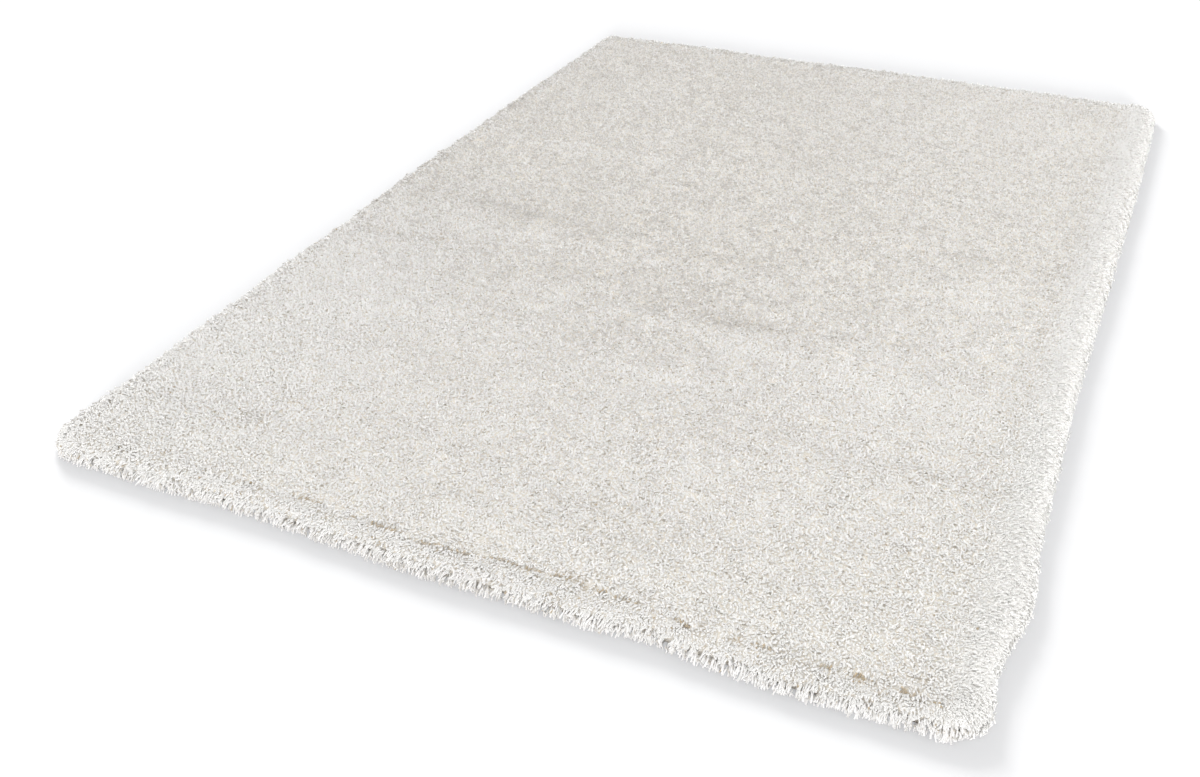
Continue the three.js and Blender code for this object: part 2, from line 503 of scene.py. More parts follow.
def tones(x, y, rng, closed, opened):
    """The tone of each yarn. The pile is painted paler in front and along the right side: painted
    light.
    """
    back = smooth_step(-0.6, 0.2, y)
    far = smooth_step(-0.5, 0.5, y)

    # Uneven over a hand's breadth, a tuft and a yarn, and more so towards the back.
    tone = BASE_TONE + 0.04 * soft_noise(x, y, 0.16, 0.05, 31)
    tone += 0.05 * soft_noise(x, y, 0.05, 0.04, 32)
    tone += (0.08 + 0.08 * back) * soft_noise(x, y, 0.006, 0.007, 33)
    tone += (0.08 + 0.34 * back) * soft_noise(x, y, 0.0036, 0.0036, 34)
    tone += (0.14 + 0.16 * far) * rng.normal(size=len(x))

    # Over the whole rug the tone is painted paler or darker by place, as painted light and shade:
    # darker towards the back on the left, paler where the pile lies calm and at the back on the
    # right.
    # The rims to the left and at the back are painted darkest.
    tone += 0.19 * smooth_step(-0.80, -0.05, y) * smooth_step(0.80, -0.10, x)
    tone -= 0.10 * calm_share(x, y)
    tone -= 0.08 * smooth_step(0.4, 0.9, y) * smooth_step(-0.4, 0.3, x)
    rim = near_edge(HALF_WIDTH, 0.030, 0.005, -x)
    rim = np.maximum(rim, near_edge(HALF_LENGTH, 0.030, 0.005, y))
    tone += (0.15 + 0.35 * rng.uniform(size=len(x))) * rim
    # Closed streaks are painted paler and open ones darker, and the front edge paler: painted light
    # and shade.
    tone += 0.15 * opened - 0.15 * closed - 0.08 * smooth_step(-0.7, -1.05, y)
    # Along the right edge, and towards the right in front, the pile is painted paler: painted light
    # from the right.
    right_lit = near_edge(HALF_WIDTH, *RIGHT_LIGHT_MARGINS, x)
    tone -= 0.40 * right_lit + 0.18 * smooth_step(0.2, 0.6, x) * smooth_step(0.0, -0.6, y)
    tone = np.clip(tone, LEAST_TONE, WARM_TONE)
    # The band in front of the parting is painted a little paler: painted light from the front.
    band = near_edge(HALF_LENGTH, 0.06, 0.04, -y)
    tone = np.maximum(tone - 0.08 * band, LEAST_TONE)

    # A few yarns are tan, most of them in open streaks and in specks.
    chance = 0.003 + 0.04 * opened + 0.01 * band + 0.5 * read_specks(x, y)
    darker = rng.uniform(size=len(x)) < chance * (1 - right_lit)
    return np.where(darker, rng.uniform(0.8, TAN_TONE, len(x)), tone)


def shade_foot(tone, low):
    """The tones, with the white yarns near the floor painted a little darker: painted shade at the
    foot.
    """
    dulled = np.minimum(tone + FOOT_SHADE * low, WARM_TONE)
    return np.where(tone < WARM_TONE, dulled, tone)


# %% [markdown]
# ## The plan of the pile
# A weaver cuts all yarns to one length, but they lean and sink by different amounts, and so their
# tips are uneven. Each cause is one line below: a lie that pulls the yarns over, or a dip that
# sinks the tips under the skin or lets them stand out of it.

# %% Plan the pile
PILE_PITCH = 0.0043
YARN_THICKNESS = 0.0036
END_SHOWN = 0.0115
PILE_LEAN = 57
TIP_UNEVENNESS = 0.0011
HOLLOW_DEPTH = 0.0008
OPEN_DEPTH = 0.0015
TAN_DEPTH = 0.002
SPECK_DEPTH = 0.003
TUFT_HEIGHT = 0.0028
WISP_LENGTH = 0.0055
FOOT_TUCK = 0.003
FOOT_SPLAY = 0.005


def part_tips(place, strength, inside):
    """Moves tips away from the parting, which leaves a narrow gap."""
    near = groove(inside, strength)
    place[:, 1] += PARTING_GAP * near * np.tanh(inside / 0.002)
    place[:, 2] -= 0.001 * near
    return near


def in_hole(u, v, strength):
    """Whether a place is in one of the small gaps between the yarns that hang in front."""
    return strength * (soft_noise(u, v, 0.0036, 0.010, 44) + 0.3) > 0.63


def plan_pile(u, v, rng):
    """Yarn ends all over the skin."""
    n = len(u)
    skin = wrap(u, v)
    place = skin.place.copy()
    x, y = place[:, 0], place[:, 1]
    closed, opened, apart = read_streaks(x, y)
    inside, parts = read_parting(x, y)
    near = part_tips(place, parts, inside)
    down_share = skin.rolled / ROLL_END
    front = front_share(skin)
    right = near_edge(HALF_WIDTH, 0.12, 0.05, x)
    calm = calm_share(x, y)

    # Yarns lean out near the edges, all one way in a closed streak, and away from a parting.
    together = 0.9 * (1 - 0.6 * calm[:, None])
    lie = random_lie(u, v, rng, together, alone=1.0) * (1 - 0.4 * right[:, None])
    lie += 0.7 * outward_pull(x, y, 0.11) * (1 + right[:, None])
    band = smooth_step(0.004, -0.008, inside)
    lie[:, 1] -= 0.9 * band
    lie[:, 1] += 0.9 * closed + 1.6 * apart
    lie[:, 1] += 2.4 * parts * smooth_step(0.022, 0.0, np.abs(inside)) * np.sign(inside)
    lean = rng.normal(PILE_LEAN, LEAN_SPREAD, n) + 10 * near
    end, side = lean_over(skin, lie, np.clip(lean, 12, 78))
    tone = tones(x, y, rng, closed, opened)

    # Tips sink where the pile is open. Down the edges they stand out in tufts and wisps, and at
    # the foot they splay on the floor.
    back = smooth_step(-0.5, 0.0, y)
    dip = np.abs(rng.normal(0, TIP_UNEVENNESS, n)) * (1 + 0.4 * back)
    dip += OPEN_DEPTH * opened + TAN_DEPTH * (tone > TAN_STARTS)
    dip += (HOLLOW_DEPTH + 0.0003 * back) * (1 + soft_noise(u, v, 0.012, 0.012, 17))
    dip += SPECK_DEPTH * read_specks(x, y)
    dip *= 1 - 0.8 * right - 0.3 * calm
    edge = smooth_step(0.005, 0.030, skin.rolled)
    swell = np.maximum(soft_noise(u, v, 0.012, 0.012, 45), -0.4)
    dip -= TUFT_HEIGHT * edge * (1 - 0.6 * right) * swell
    dip -= WISP_LENGTH * edge * (1 - front) * rng.uniform(0, 1, n) ** 4
    dip += FOOT_TUCK * front * smooth_step(0.45, 0.8, down_share)
    dip -= FOOT_SPLAY * smooth_step(0.72, 0.95, down_share) * rng.uniform(0, 1, n)
    tip_place = sink_tips(place, skin, dip, rng)

    reach = end * (END_SHOWN * rng.uniform(0.85, 1.15, n))[:, None]
    width = YARN_THICKNESS * rng.uniform(0.85, 1.15, n) * (1 + 0.15 * calm)
    on_line = parts * np.exp(-((inside / 0.0048) ** 2)) * rng.uniform(0.1, 1.5, n)
    # Near the floor in front the white yarns are painted darker: painted shade.
    tone = shade_foot(tone, front * smooth_step(0.6, 0.9, down_share))
    tone = np.where(on_line > 0.5, rng.uniform(0.84, TAN_TONE, n), tone)
    root = tip_place - reach
    root[:, 2] = np.maximum(root[:, 2], 0.001)
    plan = YarnPlan(root, tip_place - root, tip_place - root, side, width, tone)
    return choose(plan, ~in_hole(u, v, front * smooth_step(0.35, 0.7, down_share)))


# %% [markdown]
# ## The plan of the fringe in front
# In front one sees the whole length of the outer yarns, from the ground's cut edge to the floor.
# Those are few, so they can have more rings and a bend.

# %% Plan the fringe
GROUND_THICKNESS = 0.0025
GROUND_INSET = 0.046
FRINGE_PITCH = 0.0044
FRINGE_THICKNESS = 0.0030
FRINGE_LEAN = 62
BEND_BEFORE_TIP = 0.018


def plan_fringe(u, v, rng):
    """Whole yarns that lean out over the front edge and hang to the floor."""
    skin = wrap(u, v)
    inside, parts = read_parting(skin.place[:, 0], skin.place[:, 1])
    down_share = skin.rolled / ROLL_END
    highest = 0.55 - 0.25 * smooth_step(0, 0.5, parts)
    keep = (skin.out[:, 1] < -0.5) & (inside < -0.006) & (down_share > highest)
    keep &= ~in_hole(u, v, smooth_step(0.35, 0.7, down_share))
    skin = Skin(*(column[keep] for column in skin))
    u, v, down_share = u[keep], v[keep], down_share[keep]
    n = len(u)

    lie = random_lie(u, v, rng, together=0.55, alone=0.5)
    lie[:, 1] -= 1.2
    lean = rng.normal(FRINGE_LEAN, LEAN_SPREAD, n)
    end, side = lean_over(skin, lie, np.clip(lean, 15, 82))
    tufts = soft_noise(u, v, 0.026, 0.022, 42) + 0.6 * soft_noise(u, v, 0.010, 0.020, 43)
    low = smooth_step(0.72, 0.95, down_share)
    dip = 0.0005 - (0.0007 + 0.0014 * low) * tufts + np.abs(rng.normal(0, 0.0010, n))
    dip -= FOOT_SPLAY * low * rng.uniform(0, 1.3, n)
    tip_place = sink_tips(skin.place, skin, dip, rng)

    # Each is rooted in the ground's cut edge and bends over to its end.
    inset = np.interp(skin.rolled, ROLL_LENGTHS, ROLL_INSETS)
    back_in = GROUND_INSET + 0.02 * (1 - down_share) - inset * skin.stretch
    root = skin.place - np.pad(skin.out, ((0, 0), (0, 1))) * back_in[:, None]
    root[:, 2] = GROUND_THICKNESS
    bend = tip_place - end * BEND_BEFORE_TIP
    bend[:, 2] = np.maximum(bend[:, 2], 0.005)
    width = FRINGE_THICKNESS * rng.uniform(0.8, 1.1, n)
    # Near the floor the whole yarns are painted darker too: painted shade.
    tone = shade_foot(tones(skin.place[:, 0], skin.place[:, 1], rng, 0, 0), low)
    return YarnPlan(root, 2 * (bend - root), tip_place - root, side, width, tone)


# %% Plan both
rng = np.random.default_rng(7)
pile_plan = plan_pile(*sheet_grid(PILE_PITCH, rng), rng)
fringe_plan = plan_fringe(*sheet_grid(FRINGE_PITCH, rng), rng)
print(f"{len(pile_plan.tone)} yarn ends in the pile and {len(fringe_plan.tone)} whole yarns in front")


# %% [markdown]
# ## One yarn
# A yarn here is a few triangles: a point at the root, rings of three points up it, and a blunt cut
# end. A round curve would be finer, but a rug has hundreds of thousands of yarns. It is one unit
# long and one in radius until it is planted. The attribute "along" runs from 0 at the root to 1
# at the cut end, for the bend and for the colour.

# %% Make the two yarns
def make_yarn(name, rings):
    """A yarn with a ring at each (along, radius). The last ring is the cut end."""
    points = [(0, 0, 0)]
    for along, radius in rings:
        for i in range(3):
            angle = 2 * math.pi * i / 3
            points.append((radius * math.cos(angle), radius * math.sin(angle), along))
    faces = [(0, 1 + (i + 1) % 3, 1 + i) for i in range(3)]
    for ring in range(len(rings) - 1):
        start = 1 + 3 * ring
        for i in range(3):
            j = (i + 1) % 3
            faces.append((start + i, start + j, start + 3 + j, start + 3 + i))
    last = len(points) - 3
    faces.append((last, last + 1, last + 2))
    mesh = bpy.data.meshes.new(name)
    mesh.from_pydata(points, [], faces)
    along = mesh.attributes.new("along", "FLOAT", "POINT")
    along.data.foreach_set("value", [p[2] for p in points])
    mesh.update()
    return add_object(name, mesh)


YARN_END = make_yarn("yarn_end", [(1.0, 1.0)])
WHOLE_YARN = make_yarn("whole_yarn", [(0.6, 0.9), (1.0, 1.0)])
for made in (YARN_END, WHOLE_YARN):
    print(f"{made.name}: {len(made.data.polygons)} faces")


# %% [markdown]
# ## Planting the yarns
# A Geometry Nodes tree plants a yarn at each root, turns each a little differently, and bends it
# along its planned curve. The roots carry the plan as attributes. The instances are realized, so
# the result is a plain mesh.

# %% The node tree
class Tree:
    """Short calls for building a node tree."""

    def __init__(self, tree):
        self.tree = tree

    def node(self, kind, inputs=None, **settings):
        made = self.tree.nodes.new(kind)
        for name, value in settings.items():
            setattr(made, name, value)
        for key, value in (inputs or {}).items():
            if isinstance(value, bpy.types.NodeSocket):
                self.link(value, made.inputs[key])
            else:
                made.inputs[key].default_value = value
        return made

    def link(self, output, socket):
        self.tree.links.new(output, socket)

    def attribute(self, name, data_type):
        made = self.node("GeometryNodeInputNamedAttribute", {"Name": name}, data_type=data_type)
        return made.outputs["Attribute"]

    def maths(self, operation, a, b=0.0, c=0.0):
        return self.node("ShaderNodeMath", {0: a, 1: b, 2: c}, operation=operation).outputs[0]

    def vector(self, operation, a, b=None):
        inputs = {0: a} if b is None else {0: a, 1: b}
        return self.node("ShaderNodeVectorMath", inputs, operation=operation).outputs[0]

    def dot(self, a, b):
        return self.node("ShaderNodeVectorMath", {0: a, 1: b}, operation="DOT_PRODUCT").outputs[1]

    def scaled(self, vector, factor):
        inputs = {"Vector": vector, "Scale": factor}
        return self.node("ShaderNodeVectorMath", inputs, operation="SCALE").outputs[0]

    def blend(self, factor, a, b):
        inputs = {"Factor": factor, 6: a, 7: b}
        return self.node("ShaderNodeMix", inputs, data_type="RGBA").outputs[2]

    def ramp(self, value, low, high):
        inputs = {"Value": value, 1: low, 2: high}
        made = self.node("ShaderNodeMapRange", inputs, interpolation_type="SMOOTHSTEP")
        return made.outputs[0]


def add_sockets(tree, in_out, **kinds):
    """Gives a tree named inputs or outputs, each of its kind."""
    for name, kind in kinds.items():
        tree.interface.new_socket(name, in_out=in_out, socket_type="NodeSocket" + kind)


def planting_tree():
    """Roots in, a bent yarn on each root out."""
    tree = bpy.data.node_groups.new("plant yarns", "GeometryNodeTree")
    add_sockets(tree, "INPUT", Roots="Geometry", Yarn="Object", Seed="Int", Material="Material")
    add_sockets(tree, "OUTPUT", Pile="Geometry")
    t = Tree(tree)
    given = t.node("NodeGroupInput").outputs

    # Plant: each yarn has its planned thickness and its own turn about its length.
    yarn = t.node("GeometryNodeObjectInfo", {"Object": given["Yarn"]}).outputs["Geometry"]
    turn = t.node(
        "FunctionNodeRandomValue", {2: 0.0, 3: 2 * math.pi, "Seed": given["Seed"]}, data_type="FLOAT"
    ).outputs[1]
    radius = t.maths("MULTIPLY", t.attribute("width", "FLOAT"), 0.5)
    planted = t.node(
        "GeometryNodeInstanceOnPoints",
        {
            "Points": given["Roots"],
            "Instance": yarn,
            "Rotation": t.node("ShaderNodeCombineXYZ", {2: turn}).outputs[0],
            "Scale": t.node("ShaderNodeCombineXYZ", {0: radius, 1: radius, 2: 1.0}).outputs[0],
        },
    )
    real = t.node("GeometryNodeRealizeInstances", {0: planted.outputs[0]}).outputs[0]

    # Bend: the middle line is a curve, and the ring's points stand square to it.
    place = t.node("GeometryNodeInputPosition").outputs[0]
    root = t.attribute("root", "FLOAT_VECTOR")
    along = t.attribute("along", "FLOAT")
    rise = t.attribute("rise", "FLOAT_VECTOR")
    tip = t.attribute("tip", "FLOAT_VECTOR")
    side = t.attribute("side", "FLOAT_VECTOR")
    left = t.maths("SUBTRACT", 1.0, along)
    early = t.scaled(rise, t.maths("MULTIPLY", along, left))
    late = t.scaled(tip, t.maths("MULTIPLY", along, along))
    line = t.vector("ADD", root, t.vector("ADD", early, late))
    early_slope = t.scaled(rise, t.maths("SUBTRACT", left, along))
    late_slope = t.scaled(tip, t.maths("MULTIPLY", along, 2.0))
    heading = t.vector("NORMALIZE", t.vector("ADD", early_slope, late_slope))
    over = t.vector("NORMALIZE", t.vector("CROSS_PRODUCT", side, heading))
    off = t.node("ShaderNodeSeparateXYZ", {0: t.vector("SUBTRACT", place, root)}).outputs
    ring = t.vector("ADD", t.scaled(side, off[0]), t.scaled(over, off[1]))
    bent = t.node(
        "GeometryNodeSetPosition", {"Geometry": real, "Position": t.vector("ADD", line, ring)}
    )

    # A map for the finish: the yarn's tone across it, and the way up the yarn along it.
    tone = t.attribute("tone", "FLOAT")
    spread = t.maths("MULTIPLY", off[0], 2.0)
    spot = t.node("ShaderNodeCombineXYZ", {0: t.maths("ADD", tone, spread), 1: along}).outputs[0]
    mapped = t.node(
        "GeometryNodeStoreNamedAttribute",
        {"Geometry": bent.outputs[0], "Name": "OFBake", "Value": spot},
        data_type="FLOAT2",
        domain="CORNER",
    )
    smooth = t.node("GeometryNodeSetShadeSmooth", {"Geometry": mapped.outputs[0]})
    finished = t.node(
        "GeometryNodeSetMaterial",
        {"Geometry": smooth.outputs[0], "Material": given["Material"]},
    )
    t.node("NodeGroupOutput", {"Pile": finished.outputs[0]})
    return tree


PLANTING = planting_tree()
print(f"the planting tree has {len(PLANTING.nodes)} nodes")


# %% [markdown]
# ## Yarn colour
# The yarn is undyed cream, warmer and darker towards its root: partly its own colour where the sun
# doesn't reach it, partly painted shade of the depth of the pile. Its tone runs from the palest
# white, partly painted light, over a cool and a warm white to tan. A random colour for each place
# on the rug would cut across the yarns, so the tone and the way up come from the map that each yarn
# carries. Soft fibres spread the light, and the high diffuse roughness flattens each yarn's shade.
# It also throws more light back the way it came, so the rug looks very pale from low down on the
# sun's side.

# %% Shader group for the yarn's colour
def srgb(red, green, blue):
    """A colour on the 0 to 255 scale of a paint chart, as the shader's linear numbers."""
    parts = [c / 255 for c in (red, green, blue)]
    return (*(p / 12.92 if p <= 0.04045 else ((p + 0.055) / 1.055) ** 2.4 for p in parts), 1.0)


# The root's colour is partly the yarn's own and partly painted shade of the depth of the pile.
ROOT_COLOUR = srgb(240, 232, 218)
COOL_COLOUR = srgb(253, 252, 251)
WARM_COLOUR = srgb(224, 221, 217)
TAN_COLOUR = srgb(207, 191, 165)
PALE_AND_LIT_COLOUR = srgb(250, 249, 247)


# How far up a yarn its root's colour starts to fade, and where it has gone.
ROOT_FADES = (0.15, 0.62)


def yarn_colour_group():
    """The colour at a tone and a way up the yarn."""
    group = bpy.data.node_groups.new("yarn colour", "ShaderNodeTree")
    add_sockets(group, "INPUT", Along="Float", Tone="Float", Root="Color", Cool="Color")
    add_sockets(group, "INPUT", Warm="Color", Tan="Color", Bleached="Color")
    add_sockets(group, "OUTPUT", Color="Color")
    t = Tree(group)
    given = t.node("NodeGroupInput").outputs
    white = t.blend(t.ramp(given["Tone"], COOL_TONE, WARM_TONE), given["Cool"], given["Warm"])
    climb = t.ramp(given["Along"], *ROOT_FADES)
    yarn = t.blend(climb, given["Root"], white)
    # At the lowest tones the whole yarn, root too, turns the palest white: partly its own colour,
    # partly painted light.
    yarn = t.blend(t.ramp(given["Tone"], 0.0, COOL_TONE), given["Bleached"], yarn)
    tanned = t.ramp(given["Tone"], TAN_STARTS, TAN_TONE)
    t.node("NodeGroupOutput", {"Color": t.blend(tanned, yarn, given["Tan"])})
    return group


YARN_COLOUR = yarn_colour_group()
print(f"the yarn's colour group has {len(YARN_COLOUR.nodes)} nodes")


# %% Finish of the yarn
def new_finish(name, roughness, shine=0.2):
    """A material of an even roughness, the calls that build its tree, and its shader."""
    material = bpy.data.materials.new(name)
    material.use_nodes = True
    shader = material.node_tree.nodes["Principled BSDF"]
    shader.inputs["Roughness"].default_value = roughness
    shader.inputs["Specular IOR Level"].default_value = shine
    return material, Tree(material.node_tree), shader


def yarn_material():
    """Cut yarn, coloured by the map that it carries."""
    material, t, shader = new_finish("pile yarn", roughness=0.9)
    spot = t.node("ShaderNodeUVMap", uv_map="OFBake").outputs[0]
    parts = t.node("ShaderNodeSeparateXYZ", {0: spot}).outputs
    colour = t.node(
        "ShaderNodeGroup",
        {
            "Along": parts[1],
            "Tone": parts[0],
            "Root": ROOT_COLOUR,
            "Cool": COOL_COLOUR,
            "Warm": WARM_COLOUR,
            "Tan": TAN_COLOUR,
            "Bleached": PALE_AND_LIT_COLOUR,
        },
        node_tree=YARN_COLOUR,
    ).outputs[0]
    t.link(colour, shader.inputs["Base Color"])
    shader.inputs["Diffuse Roughness"].default_value = 1.0
    return material


YARN_MATERIAL = yarn_material()
print(f"finish: {YARN_MATERIAL.name}")


# %% [markdown]
# ## Planting
# A weaver sets the whole pile in one go, row by row. One mesh with every yarn would be too heavy
# to handle, so here it comes in strips across the rug. Each is planted on its own, and so is the
# fringe in front.

# %% Plant the pile
def socket_id(tree, name):
    """The identifier of a tree's input, by which a modifier knows it."""
    for item in tree.interface.items_tree:
        if item.name == name and item.in_out == "INPUT":
            return item.identifier
    raise KeyError(name)


def plant(name, plan, yarn, seed):
    """One piece of pile from its plan, as a plain mesh."""
    mesh = bpy.data.meshes.new(name + " roots")
    mesh.vertices.add(len(plan.tone))
    mesh.vertices.foreach_set("co", plan.root.astype(np.float32).ravel())
    for key in ("root", "rise", "tip", "side"):
        column = mesh.attributes.new(key, "FLOAT_VECTOR", "POINT")
        column.data.foreach_set("vector", getattr(plan, key).astype(np.float32).ravel())
    for key in ("width", "tone"):
        column = mesh.attributes.new(key, "FLOAT", "POINT")
        column.data.foreach_set("value", getattr(plan, key).astype(np.float32))
    roots = add_object(name + " roots", mesh)
    grow = roots.modifiers.new("plant", "NODES")
    grow.node_group = PLANTING
    grow[socket_id(PLANTING, "Yarn")] = yarn
    grow[socket_id(PLANTING, "Seed")] = seed
    grow[socket_id(PLANTING, "Material")] = YARN_MATERIAL
    roots.update_tag()
    depsgraph = bpy.context.evaluated_depsgraph_get()
    pile = bpy.data.meshes.new_from_object(roots.evaluated_get(depsgraph))
    pile.name = name
    for spare in ("root", "rise", "tip", "side", "width", "tone", "along"):
        if spare in pile.attributes:
            pile.attributes.remove(pile.attributes[spare])
    bpy.data.objects.remove(roots)
    made = add_object(name, pile)
    pile.calc_loop_triangles()
    print(f"{name}: {len(plan.tone)} yarns, {len(pile.loop_triangles)} triangles")
    return made


PILE_STRIPS = 5
pile = []
strip = (np.argsort(np.argsort(pile_plan.root[:, 1])) * PILE_STRIPS) // len(pile_plan.tone)
for i in range(PILE_STRIPS):
    pile.append(plant(f"pile_strip_{i + 1}", choose(pile_plan, strip == i), YARN_END, 100 + i))
pile.append(plant("front_fringe", fringe_plan, WHOLE_YARN, 200))
for yarn in (YARN_END, WHOLE_YARN):
    bpy.data.objects.remove(yarn)


# %% [markdown]
# ## The ground weave
# The sheet into which the pile is woven, 2.5 mm thick, with its cut edges under the outer yarns.
# It is an array of points joined into a closed slab. Its threads could be modelled one by one, but
# only the underside shows them, so warp and weft are a bump and a colour in its finish.

# %% Make the ground weave
GROUND_RADIUS = 0.016
GROUND_CORNER_STEPS = 6


def rounded_outline(half_x, half_y, radius, corner_steps):
    """A rounded rectangle, anticlockwise."""
    points = []
    for quarter, (sx, sy) in enumerate(((1, 1), (-1, 1), (-1, -1), (1, -1))):
        for i in range(corner_steps + 1):
            angle = math.pi / 2 * (quarter + i / corner_steps)
            x = sx * (half_x - radius) + radius * math.cos(angle)
            y = sy * (half_y - radius) + radius * math.sin(angle)
            points.append((x, y))
    return points


def make_ground():
    """The closed slab, and the size to which it is cut."""
    half_x = HALF_WIDTH - GROUND_INSET
    half_y = HALF_LENGTH - GROUND_INSET
    outline = rounded_outline(half_x, half_y, GROUND_RADIUS, GROUND_CORNER_STEPS)
    n = len(outline)
    points = [(x, y, 0) for x, y in outline] + [(x, y, GROUND_THICKNESS) for x, y in outline]
    faces = [tuple(range(n - 1, -1, -1)), tuple(range(n, 2 * n))]
    faces += [(i, (i + 1) % n, n + (i + 1) % n, n + i) for i in range(n)]
    mesh = bpy.data.meshes.new("ground_weave")
    mesh.from_pydata(points, [], faces)
    mesh.update()
    return add_object("ground_weave", mesh), (2 * half_x, 2 * half_y)


ground, ground_cut = make_ground()
print(f"ground weave cut to {ground_cut[0]:.3f} x {ground_cut[1]:.3f} m")


# %% Finish of the ground weave
def plain_weave_group():
    """Warp and weft that pass over and under each other by turns."""
    group = bpy.data.node_groups.new("plain weave", "ShaderNodeTree")
    add_sockets(group, "INPUT", Vector="Vector", Pitch="Float", Warp="Color", Weft="Color")
    add_sockets(group, "INPUT", Gap="Color")
    add_sockets(group, "OUTPUT", Color="Color", Height="Float")
    t = Tree(group)
    given = t.node("NodeGroupInput").outputs
    shares = t.scaled(given["Vector"], t.maths("DIVIDE", 1.0, given["Pitch"]))
    parts = t.node("ShaderNodeSeparateXYZ", {0: shares}).outputs
    cells = [t.maths("FLOOR", parts[axis]) for axis in (0, 1)]
    turns = t.maths("PINGPONG", t.maths("ADD", cells[0], cells[1]), 1.0)
    humps = [t.maths("ABSOLUTE", t.maths("SINE", t.maths("MULTIPLY", p, math.pi))) for p in parts[:2]]
    warp_over = t.maths("MULTIPLY", t.maths("POWER", humps[0], 0.5), humps[1])
    weft_over = t.maths("MULTIPLY", t.maths("POWER", humps[1], 0.5), humps[0])
    under = t.maths("SUBTRACT", 1.0, turns)
    height = t.maths("MULTIPLY_ADD", turns, warp_over, t.maths("MULTIPLY", under, weft_over))
    colour = t.blend(turns, given["Weft"], given["Warp"])
    # Where the threads dip between each other the colour turns to the gap colour: painted shade.
    colour = t.blend(t.ramp(height, 0.05, 0.45), given["Gap"], colour)
    t.node("NodeGroupOutput", {"Color": colour, "Height": height})
    return group


WEAVE_PITCH = 0.0045
WEAVE_RELIEF = 0.0010


def ground_material():
    """Undyed warp and weft."""
    material, t, shader = new_finish("ground weave", roughness=0.95)
    weave = t.node(
        "ShaderNodeGroup",
        {
            "Vector": t.node("ShaderNodeTexCoord").outputs["Object"],
            "Pitch": WEAVE_PITCH,
            "Warp": srgb(236, 230, 218),
            "Weft": srgb(224, 212, 190),
            "Gap": srgb(180, 166, 142),
        },
        node_tree=plain_weave_group(),
    ).outputs
    bump = t.node("ShaderNodeBump", {"Height": weave[1], "Distance": WEAVE_RELIEF}).outputs[0]
    t.link(weave[0], shader.inputs["Base Color"])
    t.link(bump, shader.inputs["Normal"])
    return material


ground.data.materials.append(ground_material())
print(f"finish: {ground.data.materials[0].name}")


# %% [markdown]
# ## The depth of the pile
# Between the tips one looks down on other yarns, not on the ground. To plant those too would
# double the work for what shows only in the gaps. So the lower yarns are a closed body that lies a
# little under the skin, and their strands are in its finish, with painted shade between them, in
# their pores and near the floor, and painted light along the right edge. It dips where the pile
# parts and where a streak opens it.

# %% Make the depth of the pile
DEPTH_DROP = 0.0038
DEPTH_STEP = 0.02
ROLL_LINES = 12

# The body also has finer lines to both sides of the parting.
FINE_REACH = 0.02
FINE_STEP = 0.004


def sheet_lines(half):
    """The grid lines of the flat sheet along one axis, closer together down the roll."""
    inner = half - ROLL_START
    count = int(2 * inner / DEPTH_STEP)
    down = np.linspace(0, ROLL_END, ROLL_LINES + 1)[1:]
    return [-inner - down[::-1], np.linspace(-inner, inner, count + 1), inner + down]


def make_depth():
    """The grid laid on the skin, sunk below it, and closed underneath by one flat face."""
    fine = ROLL_START - HALF_LENGTH + np.arange(-FINE_REACH, FINE_REACH, FINE_STEP)
    u_lines, v_lines = (
        np.unique(np.round(np.concatenate(lines), 6))
        for lines in (sheet_lines(HALF_WIDTH), [*sheet_lines(HALF_LENGTH), fine])
    )
    u, v = (grid.ravel() for grid in np.meshgrid(u_lines, v_lines))
    skin = wrap(u, v)
    x, y = skin.place[:, 0], skin.place[:, 1]
    opened = read_streaks(x, y)[1]
    inside, parts = read_parting(x, y)
    parted = groove(inside, parts) * smooth_step(0.04, 0.02, skin.rolled)
    foot = front_share(skin) * smooth_step(0.5, 0.8, skin.rolled / ROLL_END)
    drop = DEPTH_DROP + 0.002 * np.clip(opened, 0, 1) + 0.002 * parted + 0.008 * foot
    drop -= 0.0018 * near_edge(HALF_WIDTH, 0.10, 0.04, x)
    place = skin.place - skin.normal * drop[:, None]
    place[:, 2] = np.maximum(place[:, 2], GROUND_THICKNESS)
    columns, rows = len(u_lines), len(v_lines)
    faces = []
    for j in range(rows - 1):
        for i in range(columns - 1):
            k = j * columns + i
            faces.append((k, k + 1, k + 1 + columns, k + columns))
    rim = list(range(columns))
    rim += [j * columns + columns - 1 for j in range(1, rows)]
    rim += [(rows - 1) * columns + i for i in range(columns - 2, -1, -1)]
    rim += [j * columns for j in range(rows - 2, 0, -1)]
    faces.append(tuple(reversed(rim)))
    mesh = bpy.data.meshes.new("pile_depth")
    mesh.from_pydata(place.tolist(), [], faces)
    mesh.update()
    for polygon in mesh.polygons:
        polygon.use_smooth = len(polygon.vertices) == 4
    return add_object("pile_depth", mesh)


depth = make_depth()
print(f"the depth of the pile has {len(depth.data.polygons)} faces")


